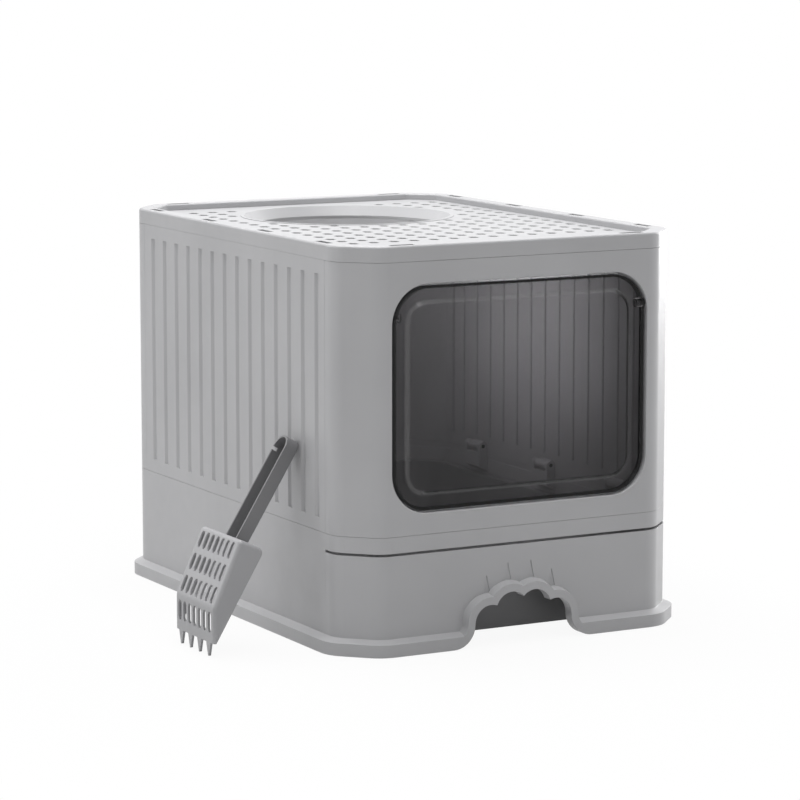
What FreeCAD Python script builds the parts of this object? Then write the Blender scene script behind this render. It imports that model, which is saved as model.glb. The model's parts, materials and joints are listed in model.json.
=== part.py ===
import FreeCAD, Part
import math
import os
import re
import Sketcher

# Covered litter box: a base with a pull-out drawer, wrapped front and rear panels, ribbed side panels
# that fold inwards, a lid with a perforated deck and a round top entry, a two-way flap and a scoop.
# Millimetres. x points right as seen from the front, y to the rear, z up.
# The origin is on the floor, under the middle of the walls.

SIZES = [
    ("body_width", 364, "outer width over the walls"),
    ("body_depth", 504, "outer depth over the walls"),
    ("total_height", 381, "floor to the top of the lid rim"),
    ("corner_run", 50, "front or rear face to the edge of a side panel"),
    ("corner_cut", 33, "leg of the facet across an upright corner"),
    ("corner_round", 24, "rounding of that facet's upright edges"),
    ("wall", 2.5, "moulded wall of panels and base"),
    ("lip_wall", 2, "thinned wall at the base edge and lid skirt"),
    ("fit", 0.3, "clearance of nested lips"),
    ("seam", 0.25, "gap between neighbouring panels"),
    ("tight", 0.1, "gap under the lid at the sides and behind the drawer front"),
    ("running", 0.05, "radial clearance of turning pins"),
    ("flange_out", 9, "reach of the foot flange beyond the wall"),
    ("flange_face", 12, "upright face of the foot flange"),
    ("flange_slope", 3.5, "rise of the slope above that face"),
    ("base_height", 111, "floor to the seam under the panels"),
    ("rail_height", 15.25, "front rail above the drawer"),
    ("rail_gap", 2.6, "open gap between rail and drawer"),
    ("floor_thick", 2.5, "base floor"),
    ("floor_setback", 67, "front face to the front edge of the floor"),
    ("lip_depth", 6, "depth of the thinned base edge"),
    ("tongue_thick", 2, "locating tongues of the front and rear panels"),
    ("tongue_root", 10, "height over which a tongue joins its panel"),
    ("tongue_up", 6, "reach of the upper tongues into the lid"),
    ("skirt_height", 15, "lid skirt"),
    ("rim_width", 16, "flat lid rim"),
    ("rim_thick", 2.5, "top plate of the rim"),
    ("rim_edge", 2.2, "rounding of the rim's outer edge"),
    ("rim_inner_edge", 1.5, "rounding of the rim's edge over the deck"),
    ("deck_drop", 6, "deck below the rim top"),
    ("deck_thick", 2, "perforated deck"),
    ("ledge_thick", 2, "ledge that carries the deck"),
    ("ledge_width", 6, "reach of that ledge under the deck"),
    ("slot_length", 25, "slots in the rim"),
    ("slot_width", 7, "width of the rim slots"),
    ("slot_inset", 8, "outer edge to the middle of a rim slot"),
    ("slot_end_side", 16, "corner tangent to the last slot of a long side"),
    ("slot_end_front", 8, "corner tangent to the slot of a short side"),
    ("hole_pitch_x", 21.6, "perforations across the deck"),
    ("hole_pitch_y", 23.6, "perforations along the deck"),
    ("hole_width", 9, "perforation across"),
    ("hole_length", 13, "perforation along"),
    ("hole_margin_x", 14, "deck edge to the outer perforations, across"),
    ("hole_margin_y", 58, "deck edge to the outer perforations, along"),
    ("hole_shift", 17.7, "middle of the deck to the middle of its perforations"),
    ("ring_rear", 150, "rear face to the middle of the top entry"),
    ("ring_radius", 109, "outer edge of the entry ring"),
    ("ring_throat", 98, "clear radius of the top entry"),
    ("ring_lip", 3.5, "part of the ring that lies on the deck"),
    ("ring_lip_thick", 0.6, "thickness of that part"),
    ("ring_drop", 9.3, "fall of the funnel"),
    ("ring_collar", 3, "upright collar under the funnel"),
    ("ring_wall", 2.2, "wall of the ring"),
    ("door_post", 44, "front panel beside the door opening"),
    ("door_sill", 20, "base seam to the bottom of the opening"),
    ("door_head", 21, "top of the opening to the lid seam"),
    ("door_corner", 38, "corner radius of the opening"),
    ("door_return", 12, "depth of the frame round the opening"),
    ("door_bevel", 0.6, "bevel of the opening's outer edge"),
    ("door_gap", 2.2, "gap round the flap"),
    ("door_recess", 4.5, "front face to the flap"),
    ("door_thick", 2.5, "flap plate"),
    ("bead_width", 3.5, "bead round the flap"),
    ("bead_height", 1.5, "rise of that bead"),
    ("pane_margin", 13, "flap edge to the foot of the raised pane"),
    ("pane_slope", 4, "width of the pane's sloping step"),
    ("pane_rise", 3, "rise of the pane"),
    ("pivot_drop", 31, "top of the opening to the flap's axis"),
    ("pivot_radius", 2.5, "flap pins"),
    ("pivot_engage", 6, "length of pin inside the flap"),
    ("boss_radius", 4.6, "bosses of the flap"),
    ("boss_length", 8, "length of those bosses"),
    ("groove_pitch", 28.15, "ribs of the side panels"),
    ("groove_width", 9.5, "width of a groove"),
    ("groove_depth", 2, "depth of a groove"),
    ("groove_slope", 3, "width of a groove's sloping side"),
    ("groove_end", 13.5, "lid seam to the upper end of a groove"),
    ("groove_foot", 12.3, "fold axis to the lower end of a groove"),
    ("groove_side", 16, "panel edge to the first groove's middle"),
    ("groove_shift", -3, "middle of the panel to the middle of its grooves"),
    ("rib_wall", 2, "inner rib beyond its groove on each side"),
    ("cheek_out", 6, "side panel edge that reaches behind the corner"),
    ("cheek_in", 6, "width of that edge on the panel itself"),
    ("cheek_thick", 2.2, "thickness of that edge"),
    ("cheek_set", 0.8, "step of that edge behind the wall"),
    ("cheek_up", 5.4, "reach of the panel's top edge into the lid"),
    ("hinge_inset", 8, "outer face to the fold axis"),
    ("hinge_rise_left", 1, "base seam to the left fold axis"),
    ("hinge_rise_right", 8, "base seam to the right fold axis, which folds on top"),
    ("hinge_end", 112, "front face to the front hinge"),
    ("hinge_pin_radius", 2, "fold pins"),
    ("knuckle_radius", 4.3, "knuckles of the side panels"),
    ("knuckle_width", 20, "width of a knuckle"),
    ("ear_thick", 5, "ears of the base beside a knuckle"),
    ("ear_radius", 4.6, "rounded top of an ear"),
    ("ear_play", 1, "side play of a knuckle"),
    ("ear_foot", 18, "base seam to the foot of an ear"),
    ("tray_drop", 3.65, "top of the drawer front to the tray rim"),
    ("tray_rim", 2.5, "thickness of the tray rim"),
    ("tray_wall", 2.2, "wall of the tub"),
    ("tray_side", 0.8, "play of the tray rim in the base"),
    ("tray_lip", 7, "overhang of the rim beyond the tub"),
    ("tray_front", 38, "front face to the tub's upper front edge"),
    ("tray_draft", 10, "inward slope of the tub's walls"),
    ("tray_corner", 36, "corner radius of the tub"),
    ("clip_width", 24, "clips that hold the tray rim on the drawer front"),
    ("clip_reach", 9, "reach of a clip"),
    ("clip_height", 6, "height of a clip"),
    ("clip_spacing", 200, "distance between the clips"),
    ("notch_x", -2, "middle of the drawer to the middle of the finger notch"),
    ("lobe_mid_x", 12.5, "middle of the notch to a centre lobe"),
    ("lobe_mid_z", 32.5, "height of its centre"),
    ("lobe_mid_radius", 17.5, "radius of a centre lobe"),
    ("lobe_side_x", 35.5, "middle of the notch to an outer lobe"),
    ("lobe_side_z", 22.5, "height of its centre, and radius of the notch's feet"),
    ("lobe_side_radius", 17, "radius of an outer lobe"),
    ("notch_lip", 7.5, "front face of the lip round the notch"),
    ("notch_lip_foot", 10, "foot of that lip on the drawer front"),
    ("claw_width", 7, "claw mark at its foot"),
    ("claw_height", 17, "height of a claw mark"),
    ("claw_depth", 0.8, "depth of a claw mark"),
    ("scoop_reach", 106.5, "side wall to the scoop's tines"),
    ("scoop_front", 110.3, "front face to the middle of the scoop"),
    ("head_width", 85, "scoop head"),
    ("head_bend", 47, "floor to the bend in the scoop's plate"),
    ("head_slope", 68, "plate above the bend"),
    ("head_tilt", 24, "lean of that plate from upright, in degrees"),
    ("head_depth", 27.5, "deep end of the scoop"),
    ("head_wall", 2.2, "wall of the scoop"),
    ("head_corner", 7, "rounded corner at the deep end"),
    ("head_bow", 12, "rounding of the bend"),
    ("head_edge", 4, "rounding of the head's outer edges"),
    ("tine_length", 13, "tines"),
    ("tine_pitch", 19.9, "distance between tines"),
    ("tine_root", 11, "tine at its root"),
    ("tine_tip", 2.6, "tine at its tip"),
    ("sift_pitch", 10.8, "slots across the scoop"),
    ("sift_width", 6.6, "width of a scoop slot"),
    ("sift_length", 17, "length of a scoop slot"),
    ("sift_row", 22.2, "rows of slots along the scoop"),
    ("sift_start", 2.6, "bend to the first row of slots"),
    ("sift_low", 20, "length of the slots below the bend"),
    ("handle_length", 107.6, "scoop handle"),
    ("handle_width", 23.3, "handle across"),
    ("handle_depth", 13, "handle from front to back"),
    ("handle_wall", 2, "wall of the channel handle"),
    ("handle_tilt", 31.9, "lean of the handle from upright, in degrees"),
    ("handle_tip", 11.4, "rounding of the handle's tip"),
    ("hook_drop", 13, "tip to the hanging notch"),
    ("hook_width", 3.4, "hanging notch along the handle"),
    ("hook_depth", 2.4, "hanging notch across the handle"),
    ("hook_reach", 5, "hanging notch below the edge of the channel"),
]
HINGE_COUNT = 3
TINE_COUNT = 4
SIFT_COLUMNS = 7
SIFT_ROWS = 3
SIDE_SLOTS = 4
SLOT_END_FLATS = 3
# How the leg of a 45 degree facet shrinks with the inset, and the tangent length of a 45 degree rounding
FACET_SHIFT = 2 - math.sqrt(2)
FACET_TANGENT = math.tan(math.radians(22.5))

doc = FreeCAD.newDocument("litter_box")
sheet = doc.addObject("Spreadsheet::Sheet", "Sizes")
for line, (alias, value, meaning) in enumerate(SIZES, 1):
    sheet.set(f"A{line}", meaning)
    sheet.set(f"B{line}", str(value))
    sheet.setAlias(f"B{line}", alias)
doc.recompute()
ALIASES = {alias for alias, value, meaning in SIZES}

# Places worked out from the sizes, as expressions over the sheet's names
HALF_WIDTH = "(body_width / 2)"
HALF_DEPTH = "(body_depth / 2)"
TANGENT = "(body_depth / 2 - corner_run)"
LID_SEAM = "(total_height - skirt_height)"
RAIL_BOTTOM = "(base_height - rail_height)"
DRAWER_TOP = "(base_height - rail_height - rail_gap)"
DECK_TOP = "(total_height - deck_drop)"
DECK_BOTTOM = "(total_height - deck_drop - deck_thick)"
TRAY_TOP = "(base_height - rail_height - rail_gap - tray_drop)"
TRAY_RIM_BOTTOM = "(base_height - rail_height - rail_gap - tray_drop - tray_rim)"
DOOR_HALF = "(body_width / 2 - door_post)"
DOOR_BOTTOM = "(base_height + door_sill)"
DOOR_TOP = "(total_height - skirt_height - door_head)"
PIVOT_Z = "(total_height - skirt_height - door_head - pivot_drop)"
PIVOT_Y = "(door_recess + door_thick / 2 - body_depth / 2)"
RING_Y = "(body_depth / 2 - ring_rear)"
HINGE_PITCH = "(body_depth / 2 - hinge_end)"
LUG_WIDTH = "(knuckle_width + 2 * ear_play + 2 * ear_thick)"
SCOOP_Y = "(scoop_front - body_depth / 2)"
FOLD_RISE = {-1: "hinge_rise_left", 1: "hinge_rise_right"}


def mm(expression):
    """Number that an expression over the sheet's names stands for."""
    return float(sheet.evalExpression(str(expression)))


def bind(thing, name, expression):
    """Ties a property to the sheet."""
    def linked(match):
        word = match.group()
        return f"Sizes.{word}" if word in ALIASES else word
    thing.setExpression(name, re.sub(r"[a-z_]+", linked, str(expression)))


def new_body(label):
    body = doc.addObject("PartDesign::Body", label)
    body.Label = label
    return body


def datum(body, role):
    return next(item for item in body.Origin.OriginFeatures if item.Role == role)


def sketch_on(body, name, role, offset="0"):
    """Empty sketch on one of the body's own planes, moved along its normal."""
    sketch = body.newObject("Sketcher::SketchObject", f"{body.Name}_{name}")
    sketch.AttachmentSupport = [(datum(body, role), "")]
    sketch.MapMode = "FlatFace"
    bind(sketch, "AttachmentOffset.Base.z", offset)
    return sketch


def dimension(sketch, kind, geometry, point, expression):
    """Distance from the sketch's origin to a point, tied to the sheet."""
    constraint = Sketcher.Constraint(kind, -1, 1, geometry, point, mm(expression))
    index = sketch.addConstraint(constraint)
    sketch.renameConstraint(index, f"size_{index}")
    bind(sketch, f"Constraints.size_{index}", expression)


def radius_of(sketch, geometry, expression):
    index = sketch.addConstraint(Sketcher.Constraint("Radius", geometry, mm(expression)))
    sketch.renameConstraint(index, f"radius_{index}")
    bind(sketch, f"Constraints.radius_{index}", expression)


def at(x, y):
    return FreeCAD.Vector(x, y, 0)


def arc(x, y, radius, start, end):
    circle = Part.Circle(at(x, y), FreeCAD.Vector(0, 0, 1), radius)
    return Part.ArcOfCircle(circle, math.radians(start), math.radians(end))


def rectangle(sketch, left, right, low, high):
    x0, x1, y0, y1 = mm(left), mm(right), mm(low), mm(high)
    corners = [at(x0, y0), at(x1, y0), at(x1, y1), at(x0, y1)]
    first = sketch.GeometryCount
    for index in range(4):
        sketch.addGeometry(Part.LineSegment(corners[index], corners[(index + 1) % 4]), False)
    for index in range(4):
        following = first + (index + 1) % 4
        sketch.addConstraint(Sketcher.Constraint("Coincident", first + index, 2, following, 1))
        kind = "Horizontal" if index % 2 == 0 else "Vertical"
        sketch.addConstraint(Sketcher.Constraint(kind, first + index))
    dimension(sketch, "DistanceX", first, 1, left)
    dimension(sketch, "DistanceY", first, 1, low)
    dimension(sketch, "DistanceX", first + 2, 1, right)
    dimension(sketch, "DistanceY", first + 2, 1, high)


def rounded_rectangle(sketch, left, right, low, high, radius):
    """Lines and corner arcs in turn, tangent to each other, held by four bounds and one radius."""
    x0, x1, y0, y1, r = mm(left), mm(right), mm(low), mm(high), mm(radius)
    first = sketch.GeometryCount
    sides = [
        Part.LineSegment(at(x0 + r, y0), at(x1 - r, y0)),
        Part.LineSegment(at(x1, y0 + r), at(x1, y1 - r)),
        Part.LineSegment(at(x1 - r, y1), at(x0 + r, y1)),
        Part.LineSegment(at(x0, y1 - r), at(x0, y0 + r)),
    ]
    corners = [
        arc(x1 - r, y0 + r, r, 270, 360),
        arc(x1 - r, y1 - r, r, 0, 90),
        arc(x0 + r, y1 - r, r, 90, 180),
        arc(x0 + r, y0 + r, r, 180, 270),
    ]
    for side, corner in zip(sides, corners):
        sketch.addGeometry(side, False)
        sketch.addGeometry(corner, False)
    for index in range(8):
        following = first + (index + 1) % 8
        sketch.addConstraint(Sketcher.Constraint("Tangent", first + index, 2, following, 1))
    for index in range(4):
        kind = "Horizontal" if index % 2 == 0 else "Vertical"
        sketch.addConstraint(Sketcher.Constraint(kind, first + 2 * index))
    for index in range(1, 4):
        sketch.addConstraint(Sketcher.Constraint("Equal", first + 1, first + 1 + 2 * index))
    radius_of(sketch, first + 1, radius)
    dimension(sketch, "DistanceY", first, 1, low)
    dimension(sketch, "DistanceX", first + 2, 1, right)
    dimension(sketch, "DistanceY", first + 4, 1, high)
    dimension(sketch, "DistanceX", first + 6, 1, left)


def upright_slot(sketch, middle, low, high, width):
    """Slot between two heights, with round ends made of a few flats."""
    x, y0, y1, r = mm(middle), mm(low), mm(high), mm(width) / 2
    turns = [math.pi * step / SLOT_END_FLATS for step in range(SLOT_END_FLATS + 1)]
    upper = [[(x + r * math.cos(turn), y1 - r + r * math.sin(turn))] for turn in turns]
    lower = [[(x - r * math.cos(turn), y0 + r - r * math.sin(turn))] for turn in turns]
    outline(sketch, upper + lower)


def round_hole(sketch, x, y, radius):
    circle = Part.Circle(at(mm(x), mm(y)), FreeCAD.Vector(0, 0, 1), mm(radius))
    index = sketch.addGeometry(circle, False)
    radius_of(sketch, index, radius)
    dimension(sketch, "DistanceX", index, 3, x)
    dimension(sketch, "DistanceY", index, 3, y)


def outline(sketch, steps):
    """Closed outline through points; a step of two points is an arc through the first to the second."""
    here = steps[-1][-1]
    first = sketch.GeometryCount
    for step in steps:
        if len(step) == 1:
            sketch.addGeometry(Part.LineSegment(at(*here), at(*step[0])), False)
        else:
            sketch.addGeometry(Part.Arc(at(*here), at(*step[0]), at(*step[1])), False)
        here = step[-1]
    sketch.solve()
    ends = sketch.GeometryCount - first
    for index in range(ends):
        join_nearest(sketch, first + index, first + (index + 1) % ends)


def join_nearest(sketch, one, other):
    """Joins the ends of two neighbours that lie on each other."""
    pairs = [(a, b) for a in (1, 2) for b in (1, 2)]
    gap = lambda pair: sketch.getPoint(one, pair[0]).distanceToPoint(sketch.getPoint(other, pair[1]))
    a, b = min(pairs, key=gap)
    sketch.addConstraint(Sketcher.Constraint("Coincident", one, a, other, b))


def pad(body, sketch, length, backwards=False):
    feature = body.newObject("PartDesign::Pad", f"{sketch.Name}_pad")
    feature.Profile = sketch
    feature.Reversed = backwards
    bind(feature, "Length", length)
    doc.recompute()
    return feature


def pocket(body, sketch, length, along=False):
    """Cut against the sketch's normal, or along it; a cut that removes nothing is an error."""
    before = body.Shape.Volume
    feature = body.newObject("PartDesign::Pocket", f"{sketch.Name}_pocket")
    feature.Profile = sketch
    feature.Reversed = along
    bind(feature, "Length", length)
    doc.recompute()
    if not feature.Shape.Volume < before:
        raise RuntimeError(f"{feature.Name} cuts nothing")
    return feature


def loft(body, low, high, kind="Additive"):
    feature = body.newObject(f"PartDesign::{kind}Loft", f"{low.Name}_loft")
    feature.Profile = low
    feature.Sections = [high]
    feature.Ruled = True
    doc.recompute()
    return feature


def repeat(body, features, role, length, count):
    """Row of copies along one of the body's axes."""
    feature = body.newObject("PartDesign::LinearPattern", f"{features[0].Name}_row")
    feature.Originals = features
    feature.Direction = (datum(body, role), [""])
    bind(feature, "Length", length)
    feature.Occurrences = count
    body.Tip = feature
    doc.recompute()
    return feature


def dress(body, kind, base, edges, size):
    """Fillet or bevel on the edges of the last feature that a test picks."""
    names = [f"Edge{n}" for n, edge in enumerate(base.Shape.Edges, 1) if edges(edge)]
    feature = body.newObject(f"PartDesign::{kind}", f"{base.Name}_{kind}")
    feature.Base = (base, names)
    bind(feature, "Radius" if kind == "Fillet" else "Size", size)
    doc.recompute()
    return feature


def wall_outline(sketch, inset, extra_front="0"):
    """Plan of the walls, moved inwards: a rectangle with a facet across each corner and rounded edges."""
    left = f"(({inset}) - {HALF_WIDTH})"
    right = f"({HALF_WIDTH} - ({inset}))"
    low = f"(({inset}) - {HALF_DEPTH} + ({extra_front}))"
    high = f"({HALF_DEPTH} - ({inset}))"
    radius = f"(corner_round - ({inset}))"
    run = f"(corner_cut - ({inset}) * {FACET_SHIFT:.6f} + {radius} * {FACET_TANGENT:.6f})"
    x0, x1, y0, y1, r, reach = (mm(size) for size in (left, right, low, high, radius, run))
    centres = [
        (x1 - reach, y0 + r), (x1 - r, y0 + reach), (x1 - r, y1 - reach), (x1 - reach, y1 - r),
        (x0 + reach, y1 - r), (x0 + r, y1 - reach), (x0 + r, y0 + reach), (x0 + reach, y0 + r),
    ]

    def rim(centre, angle):
        turn = math.radians(angle)
        return at(centre[0] + r * math.cos(turn), centre[1] + r * math.sin(turn))

    first = sketch.GeometryCount
    for index, centre in enumerate(centres):
        start = (270 + 45 * index) % 360
        sketch.addGeometry(Part.LineSegment(rim(centres[index - 1], start), rim(centre, start)), False)
        sketch.addGeometry(arc(*centre, r, start, start + 45), False)
    for index in range(16):
        following = first + (index + 1) % 16
        sketch.addConstraint(Sketcher.Constraint("Tangent", first + index, 2, following, 1))
    for index in range(4):
        kind = "Horizontal" if index % 2 == 0 else "Vertical"
        sketch.addConstraint(Sketcher.Constraint(kind, first + 4 * index))
    for index in range(1, 8):
        sketch.addConstraint(Sketcher.Constraint("Equal", first + 1, first + 1 + 2 * index))
    radius_of(sketch, first + 1, radius)
    dimension(sketch, "DistanceY", first, 1, low)
    dimension(sketch, "DistanceX", first + 4, 1, right)
    dimension(sketch, "DistanceY", first + 8, 1, high)
    dimension(sketch, "DistanceX", first + 12, 1, left)
    for corners, place in (((0, 3), f"{right} - {run}"), ((4, 7), f"{left} + {run}")):
        for corner in corners:
            dimension(sketch, "DistanceX", first + 2 * corner + 1, 3, place)
    for corners, place in (((1, 6), f"{low} + {run}"), ((2, 5), f"{high} - {run}")):
        for corner in corners:
            dimension(sketch, "DistanceY", first + 2 * corner + 1, 3, place)


def footed_block(body, top):
    """Solid block with the foot flange and its slope, before it is hollowed."""
    flange = sketch_on(body, "flange", "XY_Plane")
    wall_outline(flange, "-flange_out")
    pad(body, flange, "flange_face")
    slope_low = sketch_on(body, "slope_low", "XY_Plane", "flange_face")
    wall_outline(slope_low, "-flange_out")
    slope_high = sketch_on(body, "slope_high", "XY_Plane", "flange_face + flange_slope")
    wall_outline(slope_high, "0")
    loft(body, slope_low, slope_high)
    block = sketch_on(body, "block", "XY_Plane")
    wall_outline(block, "0")
    pad(body, block, top)


def across(sketch, low, high):
    """Rectangle over the whole width with the flange, between two depths."""
    rectangle(sketch, f"-{HALF_WIDTH} - 2 * flange_out", f"{HALF_WIDTH} + 2 * flange_out", low, high)


def hinge_ears(body, side):
    """Lugs that stand on the inner wall, slotted for the knuckles and bored for the pins."""
    rise = mm(f"base_height + {FOLD_RISE[side]}")
    radius = mm("ear_radius")
    inset = mm("hinge_inset")
    foot = mm("base_height - ear_foot")

    def place(from_face, height):
        return (side * (mm(HALF_WIDTH) - from_face), height)

    profile = sketch_on(body, f"ear_{side + 2}", "XZ_Plane", f"{HINGE_PITCH} - {LUG_WIDTH} / 2")
    outline(profile, [
        [place(mm("wall - fit"), foot)],
        [place(mm("wall - fit"), mm("base_height - lip_depth - fit"))],
        [place(inset - radius, mm("base_height - lip_depth + wall"))],
        [place(inset - radius, rise)],
        [place(inset, rise + radius), place(inset + radius, rise)],
        [place(inset + radius, foot + radius)],
        [place(mm("wall + lip_wall"), foot)],
    ])
    lug = pad(body, profile, LUG_WIDTH)
    gap = "(knuckle_width + 2 * ear_play)"
    slot = sketch_on(body, f"ear_slot_{side + 2}", "XZ_Plane", f"{HINGE_PITCH} - {gap} / 2")
    axis = f"({side} * ({HALF_WIDTH} - hinge_inset))"
    rectangle(
        slot,
        f"{axis} - ear_radius - fit",
        f"{axis} + ear_radius + fit",
        f"base_height + {FOLD_RISE[side]} - knuckle_radius - 2 * ear_play",
        f"base_height + {FOLD_RISE[side]} + ear_radius + fit",
    )
    opened = pocket(body, slot, gap, along=True)
    bore = sketch_on(body, f"ear_bore_{side + 2}", "XZ_Plane", f"{HINGE_PITCH} - {LUG_WIDTH} / 2")
    round_hole(bore, axis, f"base_height + {FOLD_RISE[side]}", "hinge_pin_radius")
    bored = pocket(body, bore, LUG_WIDTH, along=True)
    repeat(body, [lug, opened, bored], "Y_Axis", f"2 * {HINGE_PITCH}", HINGE_COUNT)


def base_frame():
    body = new_body("base_frame")
    footed_block(body, "base_height")
    cavity = sketch_on(body, "cavity", "XY_Plane", "base_height")
    wall_outline(cavity, "wall")
    pocket(body, cavity, "base_height - floor_thick")
    edge = sketch_on(body, "edge", "XY_Plane", "base_height")
    wall_outline(edge, "lip_wall")
    pocket(body, edge, "lip_depth")
    drawer_way = sketch_on(body, "drawer_way", "XY_Plane", RAIL_BOTTOM)
    across(drawer_way, f"-{HALF_DEPTH} - 2 * flange_out", f"-{TANGENT}")
    pocket(body, drawer_way, RAIL_BOTTOM)
    floor_edge = sketch_on(body, "floor_edge", "XY_Plane", "floor_thick")
    rectangle(
        floor_edge,
        f"wall - {HALF_WIDTH}",
        f"{HALF_WIDTH} - wall",
        f"-{HALF_DEPTH}",
        f"floor_setback - {HALF_DEPTH}",
    )
    pocket(body, floor_edge, "floor_thick")
    for side in (-1, 1):
        hinge_ears(body, side)
    return body


def hinge_pin(label, side, station):
    """Pin of one hinge, held in the ears of the base; station -1 is the front hinge."""
    pin = doc.addObject("Part::Cylinder", label)
    pin.Label = label
    bind(pin, "Radius", "hinge_pin_radius")
    bind(pin, "Height", LUG_WIDTH)
    pin.Placement = FreeCAD.Placement(FreeCAD.Vector(), FreeCAD.Rotation(FreeCAD.Vector(1, 0, 0), -90))
    bind(pin, "Placement.Base.x", f"{side} * ({HALF_WIDTH} - hinge_inset)")
    bind(pin, "Placement.Base.y", f"{station} * {HINGE_PITCH} - {LUG_WIDTH} / 2")
    bind(pin, "Placement.Base.z", f"base_height + {FOLD_RISE[side]}")
    return pin


def notch_steps(offset):
    """The paw-shaped finger notch, or its outline moved outwards, from foot to foot.

    Two centre lobes and two outer lobes meet in cusps, and the feet sweep out to the floor."""
    mid_x, mid_z = mm("lobe_mid_x"), mm("lobe_mid_z")
    side_x, side_z = mm("lobe_side_x"), mm("lobe_side_z")
    mid_r = mm("lobe_mid_radius") + offset
    side_r = mm("lobe_side_radius") + offset
    foot_r = side_z - offset
    foot_x = side_x + side_r + foot_r
    between = (side_x - mid_x, side_z - mid_z)
    apart = math.hypot(*between)
    along = (apart**2 + mid_r**2 - side_r**2) / (2 * apart)
    off = math.sqrt(mid_r**2 - along**2)
    cusp = (
        mid_x + (along * between[0] - off * between[1]) / apart,
        mid_z + (along * between[1] + off * between[0]) / apart,
    )
    crown = (0, mid_z + math.sqrt(mid_r**2 - mid_x**2))
    half = math.sqrt(0.5)

    def bulge(centre, radius, one, other):
        """Point of a lobe between two of its points."""
        middle = ((one[0] + other[0]) / 2 - centre[0], (one[1] + other[1]) / 2 - centre[1])
        scale = radius / math.hypot(*middle)
        return (centre[0] + middle[0] * scale, centre[1] + middle[1] * scale)

    waist = (side_x + side_r, side_z)
    foot = (foot_x, side_z - foot_r)
    right = [
        ((foot_x - foot_r * half, side_z - foot_r * half), waist),
        (bulge((side_x, side_z), side_r, waist, cusp), cusp),
        (bulge((mid_x, mid_z), mid_r, cusp, crown), crown),
    ]

    def flip(point):
        return (-point[0], point[1])

    def moved(point):
        return (point[0] + mm("notch_x"), point[1])

    stops = [foot, waist, cusp]
    left = [(flip(step[0]), flip(stop)) for step, stop in zip(reversed(right), reversed(stops))]
    return moved(foot), [[moved(point) for point in step] for step in right + left]


def drawer_front():
    body = new_body("drawer_front")
    footed_block(body, DRAWER_TOP)
    inside = sketch_on(body, "inside", "XY_Plane", DRAWER_TOP)
    wall_outline(inside, "wall")
    pocket(body, inside, DRAWER_TOP)
    behind = sketch_on(body, "behind", "XY_Plane", DRAWER_TOP)
    across(behind, f"-{TANGENT} - tight", f"{HALF_DEPTH} + 2 * flange_out")
    pocket(body, behind, DRAWER_TOP)

    lip_foot = sketch_on(body, "lip_foot", "XZ_Plane", f"{HALF_DEPTH} - wall / 2")
    foot, steps = notch_steps(mm("notch_lip_foot"))
    outline(lip_foot, steps + [[foot]])
    lip_face = sketch_on(body, "lip_face", "XZ_Plane", f"{HALF_DEPTH} + flange_out")
    foot, steps = notch_steps(mm("notch_lip"))
    outline(lip_face, steps + [[foot]])
    loft(body, lip_foot, lip_face)

    notch = sketch_on(body, "notch", "XZ_Plane", f"{HALF_DEPTH} + flange_out")
    foot, steps = notch_steps(0)
    outline(notch, steps + [[foot]])
    pocket(body, notch, "flange_out + wall + fit")

    claws = sketch_on(body, "claws", "XZ_Plane", HALF_DEPTH)
    half = mm("claw_width") / 2
    for lobe in ("mid", "side"):
        foot_z = mm(f"lobe_{lobe}_z + lobe_{lobe}_radius + notch_lip_foot")
        for side in (-1, 1):
            middle = mm(f"notch_x + {side} * lobe_{lobe}_x")
            tip = (middle, foot_z + mm("claw_height"))
            outline(claws, [[(middle - half, foot_z)], [(middle + half, foot_z)], [tip]])
    pocket(body, claws, "claw_depth")

    clips = sketch_on(body, "clips", "XY_Plane", f"{TRAY_RIM_BOTTOM} - clip_height")
    for side in (-1, 1):
        rectangle(
            clips,
            f"{side} * clip_spacing / 2 - clip_width / 2",
            f"{side} * clip_spacing / 2 + clip_width / 2",
            f"wall / 2 - {HALF_DEPTH}",
            f"wall + clip_reach - {HALF_DEPTH}",
        )
    pad(body, clips, "clip_height")
    return body


def tub_outline(sketch, inset):
    """Plan of the tub, moved inwards."""
    rounded_rectangle(
        sketch,
        f"wall + tray_side + tray_lip + ({inset}) - {HALF_WIDTH}",
        f"{HALF_WIDTH} - wall - tray_side - tray_lip - ({inset})",
        f"tray_front + ({inset}) - {HALF_DEPTH}",
        f"{HALF_DEPTH} - wall - tray_side - tray_lip - ({inset})",
        f"tray_corner - ({inset})",
    )


def litter_tray():
    body = new_body("litter_tray")
    bottom = "(floor_thick + fit)"
    low = sketch_on(body, "tub_low", "XY_Plane", bottom)
    tub_outline(low, "tray_draft")
    high = sketch_on(body, "tub_high", "XY_Plane", TRAY_TOP)
    tub_outline(high, "0")
    loft(body, low, high)
    rim = sketch_on(body, "rim", "XY_Plane", TRAY_RIM_BOTTOM)
    wall_outline(rim, "wall + tray_side", "fit - tray_side")
    pad(body, rim, "tray_rim")
    hollow_low = sketch_on(body, "hollow_low", "XY_Plane", f"{bottom} + tray_wall")
    tub_outline(hollow_low, "tray_draft + tray_wall")
    hollow_high = sketch_on(body, "hollow_high", "XY_Plane", TRAY_TOP)
    tub_outline(hollow_high, "tray_wall")
    loft(body, hollow_low, hollow_high, "Subtractive")
    return body


def ring_between(sketch, outer, inner):
    wall_outline(sketch, outer)
    wall_outline(sketch, inner)


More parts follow.
